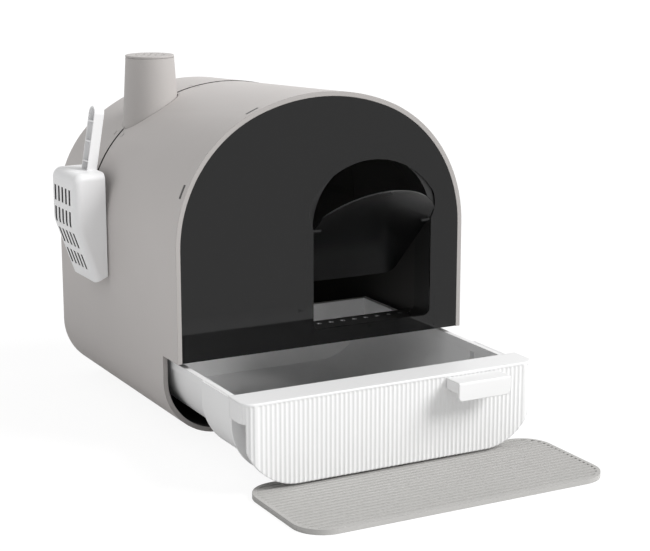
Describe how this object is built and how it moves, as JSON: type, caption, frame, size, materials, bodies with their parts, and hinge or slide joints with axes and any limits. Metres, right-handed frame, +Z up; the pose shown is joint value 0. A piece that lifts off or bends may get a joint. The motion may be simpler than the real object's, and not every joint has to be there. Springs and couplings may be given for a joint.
{
  "type": "drawer litter box",
  "caption": "Covered cat litter box with an arched hood, swinging flap, pull-out drawer tub, vent chimney, hung scoop and loose mat.",
  "frame": {"origin": "on the floor under the middle of the casing, at the face of the middle foot", "axes": "+Z up, -Y towards the entry and the drawer's pull, +X right as seen from the front"},
  "size_m": [0.4905, 0.773, 0.49],
  "materials": {
    "taupe_plastic": "fine matt moulding",
    "smoked_plastic": "polished smoked sheet",
    "dark_plastic": "satin moulding",
    "white_plastic": "satin moulding",
    "tub_plastic": "satin moulding",
    "scoop_plastic": "satin moulding",
    "mat_rubber": "ribbed",
    "foot_rubber": "matt",
    "steel": "plated",
    "charcoal_foam": "open foam"
  },
  "bodies": {
    "shell": {"casing": "taupe_plastic", "rear_hood": "taupe_plastic", "front_panel": "smoked_plastic", "entry_frame": "dark_plastic", "entry_step": "dark_plastic", "frame_screws": "steel", "step_screws": "steel", "panel_clips": "dark_plastic", "hood_clips": "taupe_plastic", "runner_left": "white_plastic", "runner_right": "white_plastic", "chimney_grille": "taupe_plastic", "carbon_filter": "charcoal_foam", "scoop_hook": "taupe_plastic", "hook_screws": "steel", "floor_pads": "foot_rubber"},
    "drawer": {"drawer_front": "white_plastic", "drawer_tub": "tub_plastic", "drawer_screws": "steel", "drawer_handle": "white_plastic"},
    "flap": {"flap": "smoked_plastic", "flap_pins": "steel"},
    "cap": {"chimney_cap": "taupe_plastic"},
    "scoop": {"scoop": "scoop_plastic"},
    "mat": {"mat": "mat_rubber"}
  },
  "joints": [
    {"name": "drawer_slide", "type": "slide", "parent": "shell", "child": "drawer", "axis": [0, -1, 0], "range_m": [-0.189, 0.14]},
    {"name": "flap_hinge", "type": "hinge", "parent": "shell", "child": "flap", "pos_m": [0.0738, -0.213, 0.2785], "axis": [1, 0, 0], "range_deg": [-106, 38]},
    {"name": "cap_lift", "type": "slide", "parent": "shell", "child": "cap", "axis": [0, 0, 1], "range_m": [0, 0.06]},
    {"name": "scoop_lift", "type": "slide", "parent": "shell", "child": "scoop", "axis": [0, 0, 1], "range_m": [0, 0.11]},
    {"name": "mat_slide", "type": "slide", "parent": "shell", "child": "mat", "axis": [0, -1, 0], "range_m": [0, 0.12]}
  ]
}
